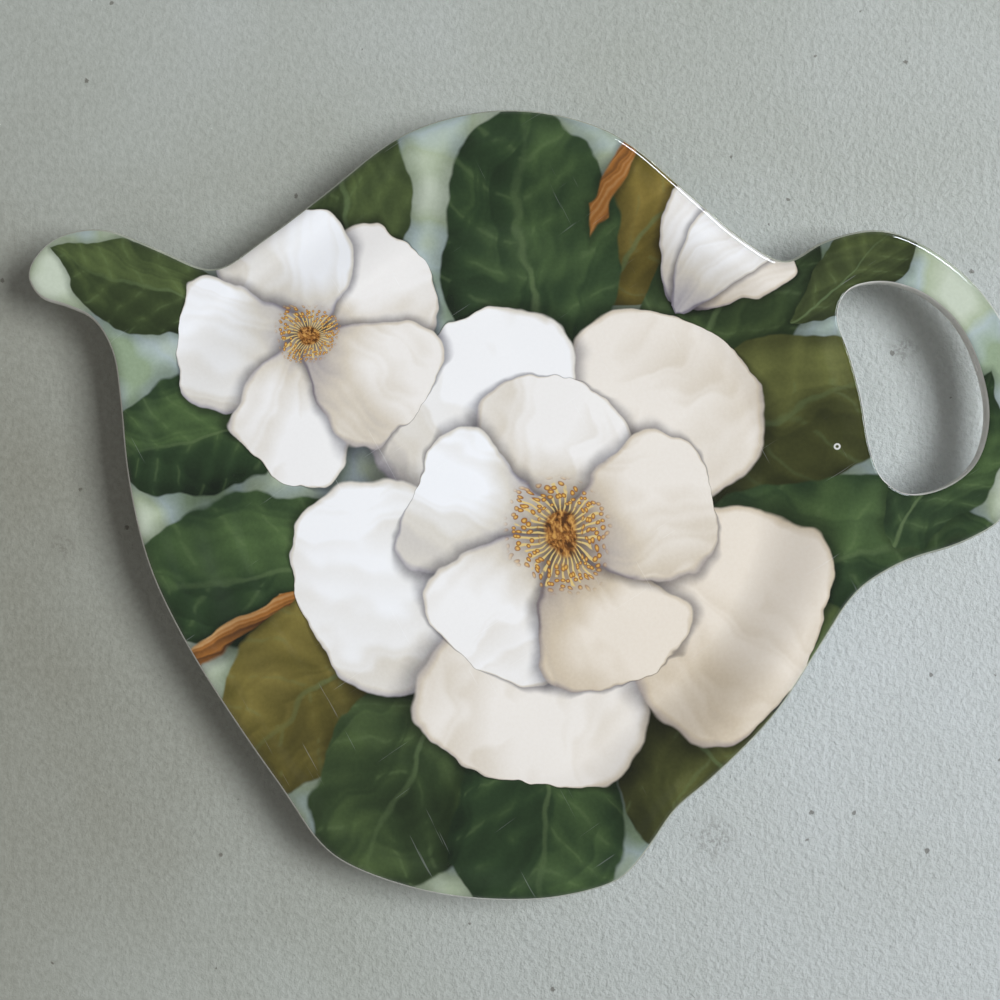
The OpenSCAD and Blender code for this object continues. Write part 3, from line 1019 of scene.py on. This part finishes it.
relief = maths(tree, "MULTIPLY", mottle, soft_step(tree, from_painted_light, 50, 145, 1, 0.4))
bumps(tree, shader, relief, 0.36 * MM)
table.data.materials.append(table_look)
table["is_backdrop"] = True
print("table top:", [round(s, 2) for s in table.dimensions], "m")

# %% [markdown]
# ## Camera
# The photo was taken from straight above, a little to the left of the middle, close enough that the finger
# hole shows the wall on its far side. At the rim's widest line 8.2 pixels are one millimetre.

# %% Camera
PIXELS_PER_METRE = 8200
MIDDLE = 500
REST_ACROSS, REST_DOWN = 523.35, 505.05
camera_x = (MIDDLE - REST_ACROSS) / PIXELS_PER_METRE
camera_y = (REST_DOWN - MIDDLE) / PIXELS_PER_METRE
camera_z = 0.23
bpy.ops.object.camera_add(location=(camera_x, camera_y, camera_z))
camera = bpy.context.object
camera.name = "camera"
camera.data.angle = 2 * math.atan(MIDDLE / PIXELS_PER_METRE / (camera_z - shoulder_z))
camera.data.clip_start = 0.01
bpy.context.scene.camera = camera
print("camera", round(1000 * camera_z), "mm up, angle", round(math.degrees(camera.data.angle), 1), "degrees")

# %% [markdown]
# ## Light
# A bluish window stands to the right, a little towards the lid. Its light is soft, but falls steeply enough
# that only the left edges cast a shadow. It lights the table and the bare moulding. The print is lit by a
# bright ceiling instead, so that the dish's sloping walls stay almost as bright as its floor, as they are in
# the photo: a lamp can be linked to the pieces it lights. Two panes low over the table only shine in the
# glaze, where they draw thin bright lines on the rounded edges that face them. A warm room fills in from the
# left. Together with the world they light a level surface to about its own colour.

# %% World and lamps
world = bpy.data.worlds.new("room")
bpy.context.scene.world = world
world.use_nodes = True
world.node_tree.nodes["Background"].inputs["Color"].default_value = (0.95, 0.96, 1, 1)
world.node_tree.nodes["Background"].inputs["Strength"].default_value = 0.23


def window(name, place, size, watts, colour, mirrored, lit=()):
    """An area lamp that faces the rest and only shines in gloss, or only lights all or just some pieces."""
    bpy.ops.object.light_add(type="AREA", location=place)
    lamp = bpy.context.object
    lamp.name = name
    lamp.data.shape = "RECTANGLE"
    lamp.data.size, lamp.data.size_y = size
    lamp.data.energy = watts
    lamp.data.color = colour
    lamp.visible_glossy = mirrored
    lamp.visible_diffuse = not mirrored
    lamp.visible_camera = False
    lamp.rotation_euler = (-Vector(place)).to_track_quat("-Z", "Y").to_euler()
    if lit:
        receivers = bpy.data.collections.new(name + "_lights")
        for piece in lit:
            receivers.objects.link(piece)
        lamp.light_linking.receiver_collection = receivers
    print(name, watts, "W at", place)


DAYLIGHT, SKYLIGHT, BLUE_SKY, WARM = (0.93, 0.97, 1), (0.95, 0.98, 1), (0.85, 0.93, 1), (1, 0.86, 0.7)
window("window", (0.465, 0.06, 0.64), (0.4, 0.3), 6.3, DAYLIGHT, mirrored=False, lit=(table, body))
window("bright_ceiling", (0.16, -0.02, 0.74), (0.5, 0.5), 4.9, SKYLIGHT, mirrored=False, lit=(foil,))
window("low_window", (0.58, 0, 0.022), (0.46, 0.04), 3.2, BLUE_SKY, mirrored=True)
window("low_side_window", (0.36, 0.46, 0.022), (0.24, 0.04), 1.8, BLUE_SKY, mirrored=True)
window("warm_room", (-0.4, -0.1, 0.6), (0.4, 0.4), 0.3, WARM, mirrored=False)
bpy.context.scene.view_settings.view_transform = "Standard"
